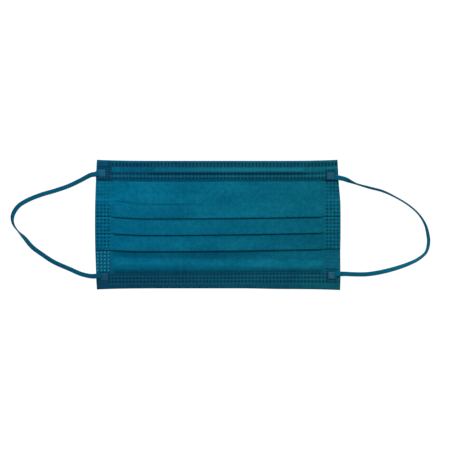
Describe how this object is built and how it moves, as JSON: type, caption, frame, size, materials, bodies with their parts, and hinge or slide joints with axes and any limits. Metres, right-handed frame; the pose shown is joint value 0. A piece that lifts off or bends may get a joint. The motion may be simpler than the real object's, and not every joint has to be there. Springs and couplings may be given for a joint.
{
  "type": "medical face mask",
  "caption": "Flat folded medical face mask: pleated nonwoven cloth panel with folded hems, a nose wire in its channel, and elastic ear loops welded at the corners.",
  "frame": {"origin": "on the table, under the middle of the mask's body without its ear loops", "axes": "+X to the right along the mask as its front is looked at, +Y towards the nose edge, +Z out of the front face"},
  "size_m": [0.3033, 0.094, 0.0058],
  "materials": {
    "outer_cloth": "matte spunbond polypropylene, point-bonded",
    "hem_cloth": "matte spunbond polypropylene, folded and welded",
    "coated_wire": "steel wire in a flat white polyethylene strip",
    "melted_elastic": "elastic melted flat under a knurled welding tool",
    "elastic": "matte knitted nylon and elastane"
  },
  "bodies": {
    "root": {"pleated_panel": "outer_cloth", "top_hem": "hem_cloth", "bottom_hem": "hem_cloth", "nose_wire": "coated_wire", "weld_pad_top_left": "melted_elastic", "weld_pad_top_right": "melted_elastic", "weld_pad_bottom_left": "melted_elastic", "weld_pad_bottom_right": "melted_elastic", "ear_loop_left": "elastic", "ear_loop_right": "elastic"}
  },
  "joints": []
}
